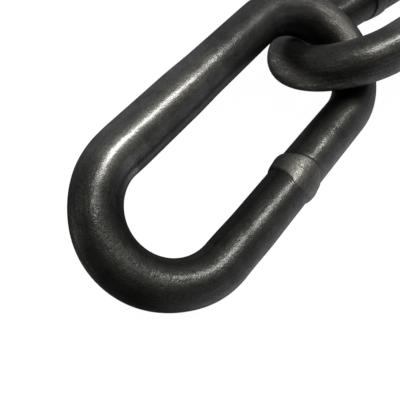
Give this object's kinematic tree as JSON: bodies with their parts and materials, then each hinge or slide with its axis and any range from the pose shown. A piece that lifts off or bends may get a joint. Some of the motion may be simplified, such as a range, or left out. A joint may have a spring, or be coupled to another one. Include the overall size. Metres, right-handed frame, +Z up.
{
  "type": "long link chain",
  "caption": "Long link chain of welded round steel bar: long open loops hooked through each other, lying slack with one free end link.",
  "frame": {"origin": "on the floor, in the middle of the chain's box", "axes": "+X along the run, from the free end link to the last one; +Z up from the floor"},
  "size_m": [2.012, 0.0772, 0.0476],
  "materials": {
    "steel": "self coloured, dark mill scale"
  },
  "bodies": {
    "link_01": {"link_01": "steel"},
    "link_02": {"link_02": "steel"},
    "link_03": {"link_03": "steel"},
    "link_04": {"link_04": "steel"},
    "link_05": {"link_05": "steel"},
    "link_06": {"link_06": "steel"},
    "link_07": {"link_07": "steel"},
    "link_08": {"link_08": "steel"},
    "link_09": {"link_09": "steel"},
    "link_10": {"link_10": "steel"},
    "link_11": {"link_11": "steel"},
    "link_12": {"link_12": "steel"},
    "link_13": {"link_13": "steel"},
    "link_14": {"link_14": "steel"},
    "link_15": {"link_15": "steel"},
    "link_16": {"link_16": "steel"},
    "link_17": {"link_17": "steel"},
    "link_18": {"link_18": "steel"},
    "link_19": {"link_19": "steel"},
    "link_20": {"link_20": "steel"}
  },
  "joints": [
    {"name": "swing_01", "type": "hinge", "parent": "link_01", "child": "link_02", "pos_m": [-0.89768, -0.00377, 0.02618], "axis": [-0.7071, 0.6355, -0.31], "range_deg": [0, 85]},
    {"name": "swing_02", "type": "hinge", "parent": "link_02", "child": "link_03", "pos_m": [-0.81288, 0.01053, 0.02381], "axis": [0, 0.766, 0.6428], "range_deg": [0, 90]},
    {"name": "swing_03", "type": "hinge", "parent": "link_03", "child": "link_04", "pos_m": [-0.69688, 0.01053, 0.02381], "axis": [0, 0.766, 0.6428], "range_deg": [-120, 120]},
    {"name": "swing_04", "type": "hinge", "parent": "link_04", "child": "link_05", "pos_m": [-0.59718, 0.01053, 0.02381], "axis": [0, -0.766, 0.6428], "range_deg": [-120, 120]},
    {"name": "swing_05", "type": "hinge", "parent": "link_05", "child": "link_06", "pos_m": [-0.49748, 0.01053, 0.02381], "axis": [0, -0.766, -0.6428], "range_deg": [-120, 120]},
    {"name": "swing_06", "type": "hinge", "parent": "link_06", "child": "link_07", "pos_m": [-0.39778, 0.01053, 0.02381], "axis": [0, 0.766, -0.6428], "range_deg": [-120, 120]},
    {"name": "swing_07", "type": "hinge", "parent": "link_07", "child": "link_08", "pos_m": [-0.29808, 0.01053, 0.02381], "axis": [0, 0.766, 0.6428], "range_deg": [-120, 120]},
    {"name": "swing_08", "type": "hinge", "parent": "link_08", "child": "link_09", "pos_m": [-0.19838, 0.01053, 0.02381], "axis": [0, -0.766, 0.6428], "range_deg": [-120, 120]},
    {"name": "swing_09", "type": "hinge", "parent": "link_09", "child": "link_10", "pos_m": [-0.09868, 0.01053, 0.02381], "axis": [0, -0.766, -0.6428], "range_deg": [-120, 120]},
    {"name": "swing_10", "type": "hinge", "parent": "link_10", "child": "link_11", "pos_m": [0.00102, 0.01053, 0.02381], "axis": [0, 0.766, -0.6428], "range_deg": [-120, 120]},
    {"name": "swing_11", "type": "hinge", "parent": "link_11", "child": "link_12", "pos_m": [0.10072, 0.01053, 0.02381], "axis": [0, 0.766, 0.6428], "range_deg": [-120, 120]},
    {"name": "swing_12", "type": "hinge", "parent": "link_12", "child": "link_13", "pos_m": [0.20042, 0.01053, 0.02381], "axis": [0, -0.766, 0.6428], "range_deg": [-120, 120]},
    {"name": "swing_13", "type": "hinge", "parent": "link_13", "child": "link_14", "pos_m": [0.30012, 0.01053, 0.02381], "axis": [0, -0.766, -0.6428], "range_deg": [-120, 120]},
    {"name": "swing_14", "type": "hinge", "parent": "link_14", "child": "link_15", "pos_m": [0.39982, 0.01053, 0.02381], "axis": [0, 0.766, -0.6428], "range_deg": [-120, 120]},
    {"name": "swing_15", "type": "hinge", "parent": "link_15", "child": "link_16", "pos_m": [0.49952, 0.01053, 0.02381], "axis": [0, 0.766, 0.6428], "range_deg": [-120, 120]},
    {"name": "swing_16", "type": "hinge", "parent": "link_16", "child": "link_17", "pos_m": [0.59922, 0.01053, 0.02381], "axis": [0, -0.766, 0.6428], "range_deg": [-120, 120]},
    {"name": "swing_17", "type": "hinge", "parent": "link_17", "child": "link_18", "pos_m": [0.69892, 0.01053, 0.02381], "axis": [0, -0.766, -0.6428], "range_deg": [-120, 120]},
    {"name": "swing_18", "type": "hinge", "parent": "link_18", "child": "link_19", "pos_m": [0.79862, 0.01053, 0.02381], "axis": [0, 0.766, -0.6428], "range_deg": [-120, 120]},
    {"name": "swing_19", "type": "hinge", "parent": "link_19", "child": "link_20", "pos_m": [0.89832, 0.01053, 0.02381], "axis": [0, 0.766, 0.6428], "range_deg": [-120, 120]}
  ]
}
